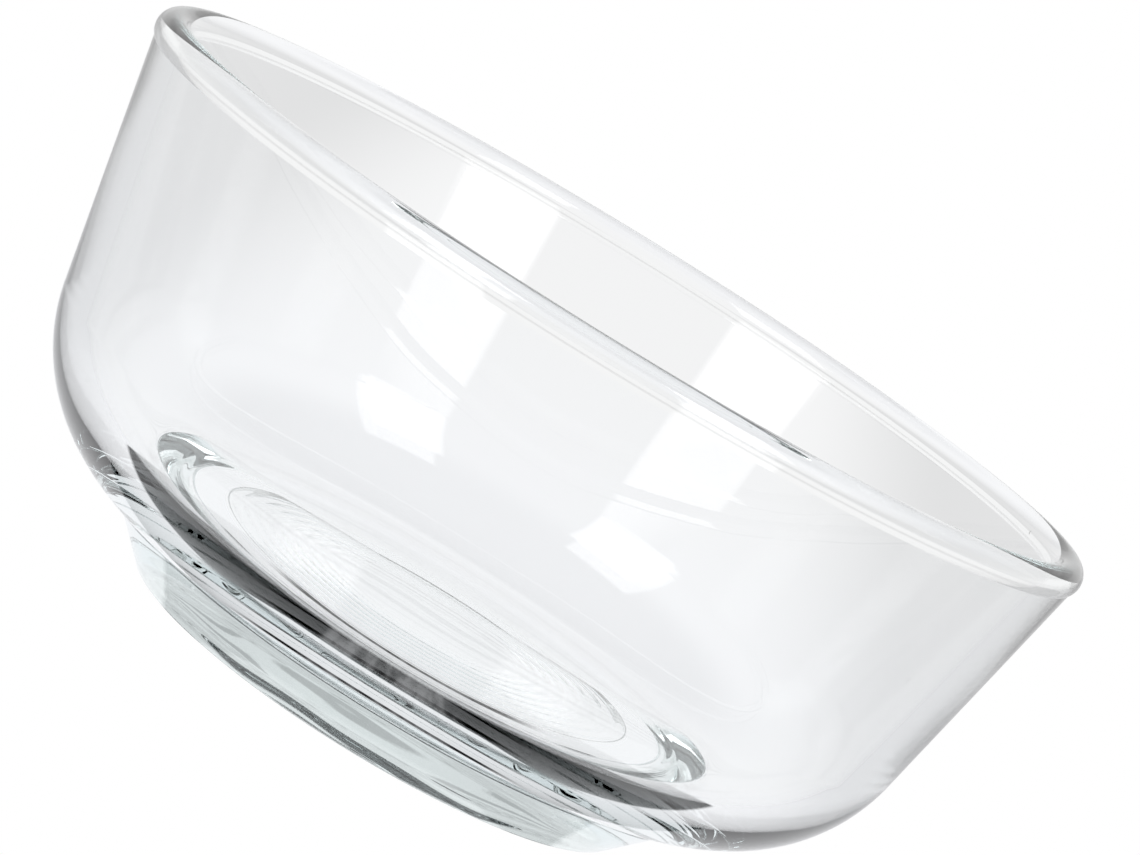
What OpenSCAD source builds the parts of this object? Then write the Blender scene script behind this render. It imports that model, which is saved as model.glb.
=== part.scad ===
// Footed glass dish: a one-piece pressed vessel with a rounded rim bead, a leaning wall,
// a round heel, a flat floor and a conical foot with a shallow recess under it.
// The dish stands on the XY plane with its axis on Z. Millimetres and degrees.

/* [Body] */
// Diameter over the rim bead
rim_d = 140; // [130:1:160]
// Height from the table to the top of the rim
dish_h = 64.5; // [60:0.5:72]
// Lean of the outer wall from upright
wall_lean = 10.7; // [7:0.1:13]
// Radius of the outer heel, between the wall and the underside
heel_r = 24.5; // [22:0.5:27]
// Height of the outer heel's lowest level above the table
heel_low = 7; // [6:0.1:8]

/* [Glass thickness] */
// Thickness of the rim bead, which is round in section
bead_t = 4.6; // [4.4:0.1:5]
// How far the bead stands proud of the outer wall
bead_proud = 0.3; // [0.2:0.05:0.5]
// Thickness of the wall level with the middle of the bead
wall_t = 3.7; // [3.4:0.1:4]
// How much more the inner wall leans than the outer one
draft = 1.1; // [0.5:0.1:3]
// Radius of the inner heel, between the wall and the floor
inner_heel_r = 19; // [15:0.5:20]
// Thickness of the glass between the floor and the recess under it
floor_t = 10.9; // [9:0.1:12]

/* [Foot] */
// Diameter of the foot where it stands on the table
foot_d = 73; // [68:1:76]
// Lean of the foot's side from upright
foot_lean = 44; // [38:1:48]
// Radius of the hollow corner between the foot and the heel
foot_blend_r = 1.5; // [0.5:0.1:2]
// Radius of the foot's bottom edge
foot_edge_r = 0.8; // [0.3:0.1:1]
// Diameter of the recess under the foot
recess_d = 63; // [50:1:64]
// Depth of the recess under the foot
recess_h = 1.6; // [1.2:0.1:2.5]
// Lean of the recess's side from upright
recess_lean = 12; // [10:1:40]
// Radius of the corner inside the recess
recess_corner_r = 0.4; // [0.3:0.1:1]

/* [Hidden] */
$fn = 96;

bead_r = bead_t / 2;
bead_centre = [rim_d / 2 - bead_r, dish_h - bead_r];

// Both walls are straight in section. Each is held by the point where it passes the height
// of the bead's centre, and by its lean.
outer_top = [rim_d / 2 - bead_proud, bead_centre[1]];
inner_top = [outer_top[0] - wall_t, bead_centre[1]];
inner_lean = wall_lean + draft;

foot_r = foot_d / 2;
recess_r = recess_d / 2;
floor_z = recess_h + floor_t;

// Radius of a leaning wall at height z
function wall_at(top, lean, z) = top[0] - (top[1] - z) * tan(lean);

// Centre of the circle of radius r that touches a wall and the level line at height low
function heel_centre(top, lean, r, low) =
    [wall_at(top, lean, low + r) - r / cos(lean), low + r];

// Point where that circle leaves the wall
function heel_touch(centre, lean, r) = centre + r * [cos(lean), -sin(lean)];

// Unit vector from a to b
function toward(a, b) = (b - a) / norm(b - a);

// Centre of the circle of radius r that touches both sides of the corner at p, which run
// from p towards a and towards b
function corner_centre(p, a, b, r) =
    p + r / sin(acos(toward(p, a) * toward(p, b)) / 2)
        * toward([0, 0], toward(p, a) + toward(p, b));

// Where that circle leaves the side that runs towards a
function corner_touch(p, a, b, r) =
    p + r / tan(acos(toward(p, a) * toward(p, b)) / 2) * toward(p, a);

// A vessel's half section, filled in from the axis: a level bottom, a heel and a wall
module vessel_section(top, lean, r, low, high) {
    centre = heel_centre(top, lean, r, low);
    polygon([
        [0, low], [centre[0], low], heel_touch(centre, lean, r),
        [wall_at(top, lean, high), high], [0, high]
    ]);
    translate(centre) circle(r);
}

// The foot's half section: a cone that widens upwards until it is well inside the heel
module foot_section() {
    high = heel_low + heel_r / 4;
    corner = [foot_r, 0];
    side = [foot_r + high * tan(foot_lean), high];
    polygon([
        [0, 0], corner_touch(corner, [0, 0], side, foot_edge_r),
        corner_touch(corner, side, [0, 0], foot_edge_r), side, [0, high]
    ]);
    translate(corner_centre(corner, [0, 0], side, foot_edge_r)) circle(foot_edge_r);
}

// The recess under the foot, as the air that fills it
module recess_section() {
    mouth = [recess_r, 0];
    corner = [recess_r - recess_h * tan(recess_lean), recess_h];
    centre = corner_centre(corner, mouth, [0, recess_h], recess_corner_r);
    polygon([
        [0, -1], mouth - toward(mouth, corner) / cos(recess_lean),
        corner_touch(corner, mouth, [0, recess_h], recess_corner_r),
        corner_touch(corner, [0, recess_h], mouth, recess_corner_r), [0, recess_h]
    ]);
    translate(centre) circle(recess_corner_r);
}

// The glass that rounds off the hollow corner between the foot's side and the heel
module foot_blend() {
    heel = heel_centre(outer_top, wall_lean, heel_r, heel_low);
    out = [cos(foot_lean), -sin(foot_lean)];
    up = [sin(foot_lean), cos(foot_lean)];
    start = [foot_r, 0] + foot_blend_r * out;
    gap = start - heel;
    along = -gap * up - sqrt(pow(gap * up, 2) - gap * gap + pow(heel_r + foot_blend_r, 2));
    centre = start + along * up;
    inward = toward(centre, heel);
    difference() {
        polygon([
            centre - foot_blend_r * out, centre, centre + foot_blend_r * inward,
            centre + 6 * foot_blend_r * toward([0, 0], inward - out)
        ]);
        translate(centre) circle(foot_blend_r);
    }
}

// The whole glass in half section, from the axis out
module dish_section() {
    difference() {
        union() {
            vessel_section(outer_top, wall_lean, heel_r, heel_low, outer_top[1]);
            foot_section();
            foot_blend();
        }
        vessel_section(inner_top, inner_lean, inner_heel_r, floor_z, inner_top[1] + 1);
        recess_section();
    }
    translate(bead_centre) circle(bead_r);
}

module dish() {
    color("azure", 0.4)
    rotate_extrude($fn = 180)
    dish_section();
}

dish();
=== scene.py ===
# Looks, light and camera for the footed glass dish. Metres, Z up, the dish's axis on Z.
import math

import bpy
import numpy as np
from mathutils import Matrix, Vector


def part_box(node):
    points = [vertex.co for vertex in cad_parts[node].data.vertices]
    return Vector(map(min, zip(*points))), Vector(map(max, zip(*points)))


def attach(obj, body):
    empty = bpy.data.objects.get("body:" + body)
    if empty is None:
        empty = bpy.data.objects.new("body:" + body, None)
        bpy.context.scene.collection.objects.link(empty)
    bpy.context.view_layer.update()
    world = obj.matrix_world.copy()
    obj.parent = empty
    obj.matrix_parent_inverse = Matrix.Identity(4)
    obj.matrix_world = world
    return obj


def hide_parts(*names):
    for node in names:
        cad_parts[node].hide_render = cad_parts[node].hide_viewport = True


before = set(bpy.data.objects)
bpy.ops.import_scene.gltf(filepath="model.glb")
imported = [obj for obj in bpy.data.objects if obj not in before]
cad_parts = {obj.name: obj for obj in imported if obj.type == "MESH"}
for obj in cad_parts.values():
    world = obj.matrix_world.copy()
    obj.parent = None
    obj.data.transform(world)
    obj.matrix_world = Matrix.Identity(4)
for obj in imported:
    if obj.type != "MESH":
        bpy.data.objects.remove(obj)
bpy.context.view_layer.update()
scene = bpy.context.scene
print("frame loaded:", sorted(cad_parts))


# small helpers for shader trees
def addNode(tree, kind, **settings):
    node = tree.nodes.new(kind)
    for key, value in settings.items():
        if hasattr(node, key):
            setattr(node, key, value)
        else:
            node.inputs[key].default_value = value
    return node


def calc(tree, operation, *values):     # each value is a number or a socket
    node = addNode(tree, "ShaderNodeMath", operation=operation)
    for socket, value in zip(node.inputs, values):
        if isinstance(value, (int, float)):
            socket.default_value = value
        else:
            tree.links.new(value, socket)
    return node.outputs[0]


def fade(tree, value, start, end):      # 0 below start, 1 above end, smooth between
    node = addNode(tree, "ShaderNodeMapRange", interpolation_type="SMOOTHSTEP")
    tree.links.new(value, node.inputs["Value"])
    node.inputs["From Min"].default_value = start
    node.inputs["From Max"].default_value = end
    return node.outputs[0]


def without(tree, value):               # what is left of 1
    return calc(tree, "SUBTRACT", 1, value)


def patch(tree, value, low, high, edge):    # 1 between low and high, edges soft
    return calc(tree, "MULTIPLY", fade(tree, value, low, low + edge),
                without(tree, fade(tree, value, high - edge, high)))


def blendValue(tree, share, a, b):      # a where share is 0, the number b where it is 1
    node = addNode(tree, "ShaderNodeMix", data_type="FLOAT")
    tree.links.new(share, node.inputs[0])
    tree.links.new(a, node.inputs[2])
    node.inputs[3].default_value = b
    return node.outputs[0]


def noiseAt(tree, place, scale, detail):
    node = addNode(tree, "ShaderNodeTexNoise", Scale=scale, Detail=detail)
    tree.links.new(place, node.inputs["Vector"])
    return node.outputs[0]


def newMaterial(name):
    mat = bpy.data.materials.new(name)
    mat.use_nodes = True
    mat.node_tree.nodes.clear()
    return mat, mat.node_tree


# the dish's section; the rim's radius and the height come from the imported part
dish = {
    "wallLean": 10.7,       # outer wall's lean from upright, degrees
    "heelRadius": 0.0245,
    "heelLow": 0.007,       # lowest level of the heel's circle
    "beadWidth": 0.0046,    # rim bead, round in section
    "beadProud": 0.0003,
    "wallThick": 0.0037,    # level with the bead's centre
    "draft": 1.1,           # extra lean of the inner wall
    "innerHeel": 0.019,
    "floorThick": 0.0109,
    "footRadius": 0.0365,
    "footLean": 44.0,
    "footBlend": 0.0015,    # hollow corner above the foot
    "footEdge": 0.0008,
    "recessRadius": 0.0315,
    "recessDepth": 0.0016,
    "recessLean": 12.0,
    "recessCorner": 0.0004,
    "turns": 360,           # vertices round each ring
    "arcStep": 1.5,         # degrees between rings on a large round edge
    "beadStep": 3.0,        # and on the smaller ones
    "blendStep": 4.5,
    "edgeStep": 6.0,
    "wallRings": 24,
    "flatRings": 6,
}

samePoint = 1e-7            # metres; points nearer than this are one point


def direction(degrees):
    a = math.radians(degrees)
    return np.array([math.cos(a), math.sin(a)])


def angleOf(v):
    return math.degrees(math.atan2(v[1], v[0]))


# a ring is (point, normal); facing is 1 where the glass is inside the circle, -1 outside
def arcRings(centre, radius, start, end, step, facing):
    count = max(2, math.ceil(abs(end - start) / step))
    rings = []
    for i in range(count + 1):
        d = direction(start + (end - start) * i / count)
        rings.append((centre + radius * d, facing * d))
    return rings


def lineRings(a, b, normal, count):
    return [(a + (b - a) * i / count, normal) for i in range(count + 1)]


def wallRadius(top, lean, z):
    return top[0] - (top[1] - z) * math.tan(math.radians(lean))


def heelCentre(top, lean, radius, low):
    return np.array([wallRadius(top, lean, low + radius) - radius / math.cos(math.radians(lean)), low + radius])


def roundCorner(corner, towardA, towardB, radius):
    u = (towardA - corner) / np.linalg.norm(towardA - corner)
    v = (towardB - corner) / np.linalg.norm(towardB - corner)
    half = math.acos(float(u @ v)) / 2
    mid = (u + v) / np.linalg.norm(u + v)
    reach = radius / math.tan(half)
    return corner + mid * radius / math.sin(half), corner + u * reach, corner + v * reach


# where a wall line, coming up from below, enters the bead's circle
def onCircle(top, lean, centre, radius):
    down = -np.array([math.sin(math.radians(lean)), math.cos(math.radians(lean))])
    gap = top - centre
    b = gap @ down
    return top + down * (-b + math.sqrt(b * b - gap @ gap + radius * radius))


def shorterTurn(start, end):
    while end - start > 180:
        end -= 360
    while end - start < -180:
        end += 360
    return end


# half section, from the middle of the floor over the rim to the middle of the underside
def dishSection(s, rimRadius, height):
    beadRadius = s["beadWidth"] / 2
    bead = np.array([rimRadius - beadRadius, height - beadRadius])
    outerTop = np.array([rimRadius - s["beadProud"], bead[1]])
    innerTop = outerTop - np.array([s["wallThick"], 0])
    outerLean, innerLean = s["wallLean"], s["wallLean"] + s["draft"]
    floorZ = s["recessDepth"] + s["floorThick"]
    outerHeel = heelCentre(outerTop, outerLean, s["heelRadius"], s["heelLow"])
    innerHeel = heelCentre(innerTop, innerLean, s["innerHeel"], floorZ)
    up = np.array([0.0, 1.0])
    # floor, inner heel and inner wall
    rings = lineRings(np.array([0.0, floorZ]), np.array([innerHeel[0], floorZ]), up, s["flatRings"])
    rings += arcRings(innerHeel, s["innerHeel"], -90, -innerLean, s["arcStep"], -1)
    hitIn = onCircle(innerTop, innerLean, bead, beadRadius)
    rings += lineRings(rings[-1][0], hitIn, -direction(-innerLean), s["wallRings"])
    # rim bead and outer wall
    hitOut = onCircle(outerTop, outerLean, bead, beadRadius)
    rings += arcRings(bead, beadRadius, angleOf(hitIn - bead) % 360, angleOf(hitOut - bead),
                      s["beadStep"], 1)
    heelTop = outerHeel + s["heelRadius"] * direction(-outerLean)
    rings += lineRings(hitOut, heelTop, direction(-outerLean), s["wallRings"])
    # outer heel, and the hollow corner between it and the foot
    side = direction(90 - s["footLean"])
    out = direction(-s["footLean"])
    foot = np.array([s["footRadius"], 0.0])
    start = foot + s["footBlend"] * out
    gap = start - outerHeel
    b = gap @ side
    along = -b - math.sqrt(b * b - gap @ gap + (s["heelRadius"] + s["footBlend"]) ** 2)
    blend = start + along * side
    inward = (outerHeel - blend) / np.linalg.norm(outerHeel - blend)
    rings += arcRings(outerHeel, s["heelRadius"], -outerLean, angleOf(-inward), s["arcStep"], 1)
    first = angleOf(inward)
    last = shorterTurn(first, angleOf(-out))
    rings += arcRings(blend, s["footBlend"], first, last, s["blendStep"], -1)
    # foot edge, resting ring and recess
    centre, a, c = roundCorner(foot, foot + side, np.zeros(2), s["footEdge"])
    first = angleOf(a - centre)
    last = shorterTurn(first, angleOf(c - centre))
    rings += arcRings(centre, s["footEdge"], first, last, s["edgeStep"], 1)
    mouth = np.array([s["recessRadius"], 0.0])
    top = np.array([0.0, s["recessDepth"]])
    corner = mouth + s["recessDepth"] * np.array([-math.tan(math.radians(s["recessLean"])), 1.0])
    rings.append((mouth, -up))
    rings.append((mouth, direction(180 + s["recessLean"])))
    centre, a, c = roundCorner(corner, mouth, top, s["recessCorner"])
    first = angleOf(a - centre)
    last = shorterTurn(first, angleOf(c - centre))
    rings += arcRings(centre, s["recessCorner"], first, last, s["edgeStep"], -1)
    rings += lineRings(c, top, -up, s["flatRings"])[1:]
    return rings


def sameRing(a, b):
    return np.linalg.norm(a[0] - b[0]) < samePoint and float(a[1] @ b[1]) > 0.999


# turns the section about the axis; base is the point on the axis at the foot's level
def spin(section, base, turns):
    verts, normals, rows = [], [], []
    for point, normal in section:
        row = []
        for i in range(1 if point[0] < samePoint else turns):
            a = 2 * math.pi * i / turns
            row.append(len(verts))
            verts.append((base.x + point[0] * math.cos(a), base.y + point[0] * math.sin(a), base.z + point[1]))
            normals.append((normal[0] * math.cos(a), normal[0] * math.sin(a), normal[1]))
        rows.append(row)
    faces = []
    for a, b in zip(rows, rows[1:]):
        # two rings in one place only turn the normal at a sharp edge
        if len(a) == len(b) and (Vector(verts[a[0]]) - Vector(verts[b[0]])).length < samePoint:
            continue
        for i in range(turns):
            j = (i + 1) % turns
            if len(a) == 1:
                faces.append((a[0], b[i], b[j]))
            elif len(b) == 1:
                faces.append((a[i], b[0], a[j]))
            else:
                faces.append((a[i], b[i], b[j], a[j]))
    return verts, normals, faces


def buildDish(s):
    low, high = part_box("dish")
    centre = (low + high) / 2
    section = []
    for ring in dishSection(s, (high.x - low.x) / 2, high.z - low.z):
        if not section or not sameRing(section[-1], ring):
            section.append(ring)
    verts, normals, faces = spin(section, Vector((centre.x, centre.y, low.z)), s["turns"])
    mesh = bpy.data.meshes.new("pressedDish")
    mesh.from_pydata(verts, [], faces)
    mesh.update()
    for face in mesh.polygons:
        face.use_smooth = True
    mesh.normals_split_custom_set_from_vertices(normals)
    piece = bpy.data.objects.new("pressedDish", mesh)
    scene.collection.objects.link(piece)
    return piece


glass = {
    "index": 1.52,
    "tint": (0.36, 0.66, 0.68, 1.0),    # shows only in the thick parts
    "tintStrength": 3.2,
    "rippleScale": 55.0,        # slow waves of the pressed surface, per metre
    "rippleHeight": 0.00005,    # heights and pitches in metres
    "ringPitch": 0.0021,        # turning marks of the mould under the foot
    "ringHeight": 0.000018,
    "ringFrom": (0.012, 0.02),  # they begin this far from the axis
    "ringTop": (0.0022, 0.003),  # and end above this height
    "ringDrift": 0.0022,        # how far they wander from true circles
    "driftScale": 70.0,
    "pitScale": 95.0,
    "pitSize": (0.022, 0.034),  # radius of a pit as a part of its cell
    "pitShare": 0.16,           # share of the cells that have a pit
    "pitDepth": 0.00004,
    "smudgeScale": 38.0,        # faint smudges left by handling
    "smudgeFrom": (0.56, 0.8),
    "smudgeRough": 0.02,
}


# fine relief of the surface in metres
def surfaceHeight(tree, g):
    coord = addNode(tree, "ShaderNodeTexCoord")
    place = coord.outputs["Object"]
    height = calc(tree, "MULTIPLY", noiseAt(tree, place, g["rippleScale"], 0.0), g["rippleHeight"])
    split = addNode(tree, "ShaderNodeSeparateXYZ")
    tree.links.new(place, split.inputs[0])
    x, y, z = split.outputs
    radius = calc(tree, "SQRT", calc(tree, "ADD", calc(tree, "MULTIPLY", x, x), calc(tree, "MULTIPLY", y, y)))
    drift = calc(tree, "MULTIPLY", noiseAt(tree, place, g["driftScale"], 0.0), g["ringDrift"])
    turned = calc(tree, "ADD", radius, drift)
    wave = calc(tree, "SINE", calc(tree, "MULTIPLY", turned, 2 * math.pi / g["ringPitch"]))
    under = without(tree, fade(tree, z, *g["ringTop"]))
    under = calc(tree, "MULTIPLY", under, fade(tree, radius, *g["ringFrom"]))
    rings = calc(tree, "MULTIPLY", calc(tree, "MULTIPLY", wave, under), g["ringHeight"])
    height = calc(tree, "ADD", height, rings)
    # a few small pits
    cells = addNode(tree, "ShaderNodeTexVoronoi", Scale=g["pitScale"])
    tree.links.new(place, cells.inputs["Vector"])
    pit = without(tree, fade(tree, cells.outputs["Distance"], *g["pitSize"]))
    pick = addNode(tree, "ShaderNodeSeparateColor")
    tree.links.new(cells.outputs["Color"], pick.inputs[0])
    chosen = calc(tree, "LESS_THAN", pick.outputs[0], g["pitShare"])
    pit = calc(tree, "MULTIPLY", calc(tree, "MULTIPLY", pit, chosen), g["pitDepth"])
    return calc(tree, "SUBTRACT", height, pit), place


def clearGlass(g):
    mat, tree = newMaterial("clearGlass")
    out = addNode(tree, "ShaderNodeOutputMaterial")
    body = addNode(tree, "ShaderNodeBsdfPrincipled", IOR=g["index"])
    body.inputs["Base Color"].default_value = (1, 1, 1, 1)
    body.inputs["Transmission Weight"].default_value = 1.0
    height, place = surfaceHeight(tree, g)
    bump = addNode(tree, "ShaderNodeBump", Strength=1.0, Distance=1.0)
    tree.links.new(height, bump.inputs["Height"])
    tree.links.new(bump.outputs[0], body.inputs["Normal"])
    smudge = fade(tree, noiseAt(tree, place, g["smudgeScale"], 2.0), *g["smudgeFrom"])
    tree.links.new(calc(tree, "MULTIPLY", smudge, g["smudgeRough"]), body.inputs["Roughness"])
    # clear to shadow rays
    clear = addNode(tree, "ShaderNodeBsdfTransparent")
    path = addNode(tree, "ShaderNodeLightPath")
    mix = addNode(tree, "ShaderNodeMixShader")
    tree.links.new(path.outputs["Is Shadow Ray"], mix.inputs[0])
    tree.links.new(body.outputs[0], mix.inputs[1])
    tree.links.new(clear.outputs[0], mix.inputs[2])
    tree.links.new(mix.outputs[0], out.inputs["Surface"])
    tint = addNode(tree, "ShaderNodeVolumeAbsorption", Density=g["tintStrength"])
    tint.inputs["Color"].default_value = g["tint"]
    tree.links.new(tint.outputs[0], out.inputs["Volume"])
    return mat


pressedDish = buildDish(dish)
print("section turned:", len(pressedDish.data.vertices), "vertices")
pressedDish.data.materials.append(clearGlass(glass))
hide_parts("dish")
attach(pressedDish, "root")
print("dish ready")


# the camera sees a plain white floor; this is what the glass sees, with painted shade, in metres from the axis
floorLook = {
    "half": 12.0,
    "near": (0.95, 0.955, 0.975, 1.0),  # tone round the dish
    "far": (0.93, 0.93, 0.935, 1.0),
    "blend": (0.08, 0.45),              # from near tone to far tone
    "sideShade": (0.052, 0.11),            # painted shade: greyer to the left and right
    "sideShadeDepth": 0.2,
    "shadowCrescent": (0.0388, 0.0638),       # painted shadow: a dark crescent under the front of the heel
    "shadowCrescentEdge": 0.0008,
    "shadowCrescentFront": (0.0214, 0.0232),  # it begins this far in front
    "tips": (0.014, 0.026),             # its ends lie nearer the axis
    "tipShift": 0.0034,
    "line": (0.0302, 0.0330),           # thin painted shadow line inside it
    "lineHalf": (0.014, 0.022),
    "streakHalf": (0.0095, 0.0115),     # paler streaks across the painted shadow's middle
    "streakScale": (420, 60, 1),
    "streakFade": (0.3, 0.7),
    "streakDepth": 0.2,
}


# painted shadow on the floor: a dark crescent under the front of the heel, a thin dark line inside it and paler
# streaks across it
def paintedFloorShadow(tree, place, across, y, radius, s):
    moved = calc(tree, "MULTIPLY", fade(tree, across, *s["tips"]), s["tipShift"])
    moved = calc(tree, "ADD", radius, moved)
    line = calc(tree, "MULTIPLY", without(tree, fade(tree, across, *s["lineHalf"])),
                patch(tree, radius, *s["line"], s["shadowCrescentEdge"]))
    dark = calc(tree, "MAXIMUM", patch(tree, moved, *s["shadowCrescent"], s["shadowCrescentEdge"]), line)
    front = fade(tree, calc(tree, "MULTIPLY", y, -1), *s["shadowCrescentFront"])
    dark = calc(tree, "MULTIPLY", dark, front)
    stretch = addNode(tree, "ShaderNodeMapping")
    stretch.inputs["Scale"].default_value = s["streakScale"]
    tree.links.new(place, stretch.inputs["Vector"])
    streaks = fade(tree, noiseAt(tree, stretch.outputs[0], 1.0, 2.0), *s["streakFade"])
    paler = calc(tree, "MULTIPLY", without(tree, fade(tree, across, *s["streakHalf"])), streaks)
    return calc(tree, "MULTIPLY", dark, without(tree, calc(tree, "MULTIPLY", paler, s["streakDepth"])))


def paleFloor(s):
    mat, tree = newMaterial("paleFloor")
    coord = addNode(tree, "ShaderNodeTexCoord")
    place = coord.outputs["Object"]
    split = addNode(tree, "ShaderNodeSeparateXYZ")
    tree.links.new(place, split.inputs[0])
    x, y = split.outputs[:2]
    radius = calc(tree, "SQRT", calc(tree, "ADD", calc(tree, "MULTIPLY", x, x), calc(tree, "MULTIPLY", y, y)))
    across = calc(tree, "ABSOLUTE", x)
    # painted shadow under the front of the heel
    dark = paintedFloorShadow(tree, place, across, y, radius, s)
    # painted shade: the floor greyer to the left and right
    sideShade = calc(tree, "MULTIPLY", fade(tree, across, *s["sideShade"]), s["sideShadeDepth"])
    seen = calc(tree, "MULTIPLY", without(tree, dark), without(tree, sideShade))
    tone = addNode(tree, "ShaderNodeMix", data_type="RGBA")
    tree.links.new(fade(tree, radius, *s["blend"]), tone.inputs[0])
    tone.inputs[6].default_value = s["near"]
    tone.inputs[7].default_value = s["far"]
    # plain white to the camera
    path = addNode(tree, "ShaderNodeLightPath")
    fromCamera = path.outputs["Is Camera Ray"]
    colour = addNode(tree, "ShaderNodeMix", data_type="RGBA")
    tree.links.new(fromCamera, colour.inputs[0])
    tree.links.new(tone.outputs[2], colour.inputs[6])
    colour.inputs[7].default_value = (1, 1, 1, 1)
    # the floor glows instead of being lit: the level and tones it shows the glass are painted light and painted
    # shade
    glow = addNode(tree, "ShaderNodeEmission")
    tree.links.new(colour.outputs[2], glow.inputs["Color"])
    tree.links.new(blendValue(tree, fromCamera, seen, 1.0), glow.inputs["Strength"])
    out = addNode(tree, "ShaderNodeOutputMaterial")
    tree.links.new(glow.outputs[0], out.inputs["Surface"])
    return mat


def buildFloor(s):
    h = s["half"]
    mesh = bpy.data.meshes.new("floor")
    mesh.from_pydata([(-h, -h, 0), (h, -h, 0), (h, h, 0), (-h, h, 0)], [], [(0, 1, 2, 3)])
    mesh.materials.append(paleFloor(s))
    floor = bpy.data.objects.new("floor", mesh)
    scene.collection.objects.link(floor)


# what the glass sees round the floor; the camera sees white. Directions are in degrees:
# heights above the horizon, and angles off the camera's side
studio = {
    "backdrop": 0.935,
    "backdropTop": (32, 52),        # it fades into the room between these heights
    "backdropSide": (34, 50),       # and begins between these angles
    "strip": (3, 9),                # pale strip above the floor's edge, all round
    "room": 0.6,                    # grey room round the rest
    "ceiling": 0.06,
    "ceilingFrom": (34, 50),
    "softbox": 3.2,                 # level of the two softboxes
    "softboxRight": (22, 52, 11, 48),   # left, right, bottom, top
    "softboxLeft": (-55, -25, 11, 48),
    "softboxEdge": 3.0,
    "foldShadeBand": (9, 15),               # painted shade of level folds in the cloth behind, between these heights
    "foldSide": (118, 135),
    "foldEdge": 1.0,
    "foldPitch": 0.62,
    "foldWave": (-0.2, 0.9),        # part of each wave that is painted dark
    "foldBend": 5.0,                # how quickly they wander from level
    "foldShadeDepth": 0.42,
}


# painted shade: wavy dark bands standing in for folds in the backdrop cloth
def paintedFoldShade(tree, toward, height, away, s):
    wave = calc(tree, "ADD", height, noiseAt(tree, toward, s["foldBend"], 0.0))
    wave = calc(tree, "SINE", calc(tree, "MULTIPLY", wave, 2 * math.pi / s["foldPitch"]))
    where = calc(tree, "MULTIPLY", patch(tree, height, *s["foldShadeBand"], s["foldEdge"]),
                 fade(tree, away, *s["foldSide"]))
    foldShade = calc(tree, "MULTIPLY", fade(tree, wave, *s["foldWave"]), where)
    return calc(tree, "MULTIPLY", foldShade, s["foldShadeDepth"])


def buildWorld(s):
    world = bpy.data.worlds.new("studio")
    scene.world = world
    world.use_nodes = True
    tree = world.node_tree
    tree.nodes.clear()
    coord = addNode(tree, "ShaderNodeTexCoord")
    toward = coord.outputs["Generated"]
    split = addNode(tree, "ShaderNodeSeparateXYZ")
    tree.links.new(toward, split.inputs[0])
    x, y, z = split.outputs
    degrees = 180 / math.pi
    side = calc(tree, "MULTIPLY", calc(tree, "ARCTAN2", x, calc(tree, "MULTIPLY", y, -1)), degrees)
    height = calc(tree, "MULTIPLY", calc(tree, "ARCSINE", z), degrees)
    away = calc(tree, "ABSOLUTE", side)
    # backdrop, strip and painted shade of its folds
    backdrop = calc(tree, "MULTIPLY", fade(tree, away, *s["backdropSide"]),
                    without(tree, fade(tree, height, *s["backdropTop"])))
    pale = calc(tree, "MAXIMUM", backdrop, without(tree, fade(tree, height, *s["strip"])))
    pale = calc(tree, "MULTIPLY", pale, without(tree, paintedFoldShade(tree, toward, height, away, s)))
    # room, darker overhead
    above = calc(tree, "MULTIPLY", fade(tree, height, *s["ceilingFrom"]), s["room"] - s["ceiling"])
    room = calc(tree, "SUBTRACT", s["room"], above)
    light = calc(tree, "MAXIMUM", calc(tree, "MULTIPLY", pale, s["backdrop"]), room)
    for name in ("softboxRight", "softboxLeft"):
        left, right, bottom, top = s[name]
        box = calc(tree, "MULTIPLY", patch(tree, side, left, right, s["softboxEdge"]),
                   patch(tree, height, bottom, top, s["softboxEdge"]))
        light = calc(tree, "MAXIMUM", light, calc(tree, "MULTIPLY", box, s["softbox"]))
    path = addNode(tree, "ShaderNodeLightPath")
    back = addNode(tree, "ShaderNodeBackground")
    back.inputs["Color"].default_value = (1, 1, 1, 1)
    tree.links.new(blendValue(tree, path.outputs["Is Camera Ray"], light, 1.0), back.inputs["Strength"])
    out = addNode(tree, "ShaderNodeOutputWorld")
    tree.links.new(back.outputs[0], out.inputs[0])


view = {
    "distance": 0.576,
    "height": 0.1212,
    "side": 0.0016,
    "pitch": 7.63,      # degrees below level
    "yaw": 0.15,
    "roll": 31.7,       # the dish leans in the frame
    "lens": 140.5,
    "sensor": 36,
    "clipStart": 0.01,
}


def aimCamera(v):
    cam = bpy.data.cameras.new("camera")
    cam.sensor_width = v["sensor"]
    cam.lens = v["lens"]
    cam.clip_start = v["clipStart"]
    camera = bpy.data.objects.new("camera", cam)
    scene.collection.objects.link(camera)
    yaw, pitch = math.radians(v["yaw"]), math.radians(v["pitch"])
    forward = Vector((math.sin(yaw) * math.cos(pitch), math.cos(yaw) * math.cos(pitch), -math.sin(pitch)))
    right = forward.cross(Vector((0, 0, 1))).normalized()
    turned = Matrix((right, right.cross(forward), -forward)).transposed().to_4x4()
    turned = turned @ Matrix.Rotation(math.radians(v["roll"]), 4, "Z")
    turned.translation = Vector((v["side"], -v["distance"], v["height"]))
    camera.matrix_world = turned
    scene.camera = camera


buildFloor(floorLook)
buildWorld(studio)
aimCamera(view)
scene.view_settings.view_transform = "Standard"
scene.cycles.max_bounces = 20           # light crosses many faces in the foot
scene.cycles.transmission_bounces = 18
scene.cycles.glossy_bounces = 10
print("floor, studio and camera ready")
